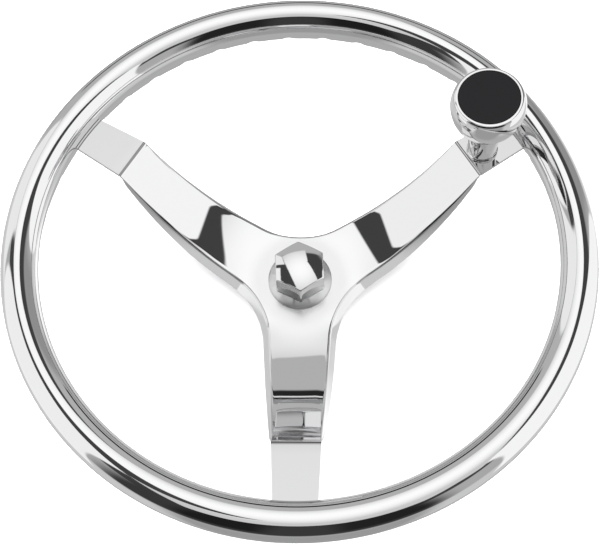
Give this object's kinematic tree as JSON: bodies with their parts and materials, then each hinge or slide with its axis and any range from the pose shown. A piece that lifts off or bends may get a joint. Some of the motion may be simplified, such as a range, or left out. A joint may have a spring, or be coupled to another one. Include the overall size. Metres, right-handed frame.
{
  "type": "boat steering wheel",
  "caption": "Round stainless boat steering wheel with dished pressed spokes, a finger-grip rim, a domed centre nut and a turning knob.",
  "frame": {"origin": "on the shaft's axis, in the back face of the hub boss", "axes": "+Z along the shaft towards the driver; the spokes point at 30, 150 and 270 degrees about +Z from +X, and the knob stands on the one at 30"},
  "size_m": [0.343, 0.343, 0.1411],
  "materials": {
    "rim_steel": "polished",
    "spoke_steel": "polished",
    "nut_steel": "polished",
    "knob_steel": "polished",
    "boss_steel": "turned",
    "fastener_steel": "satin",
    "black_insert": "matte",
    "bush_plastic": "satin",
    "nylon": "satin"
  },
  "bodies": {
    "wheel": {"rim": "rim_steel", "spoke_spider": "spoke_steel", "hub_boss": "boss_steel", "shaft_nut": "nut_steel", "knob_post": "knob_steel", "knob_thrust_washer": "fastener_steel", "knob_head_washer": "fastener_steel", "knob_spindle": "fastener_steel", "knob_back_washer": "fastener_steel", "knob_lock_nut": "fastener_steel", "knob_lock_ring": "nylon"},
    "knob": {"knob_body": "knob_steel", "knob_insert": "black_insert", "knob_lower_bush": "bush_plastic", "knob_upper_bush": "bush_plastic"}
  },
  "joints": [
    {"name": "knob_spin", "type": "hinge", "parent": "wheel", "child": "knob", "pos_m": [0.11076, 0.06395, 0.08025], "axis": [-0.077, -0.0444, 0.996], "continuous": true}
  ]
}
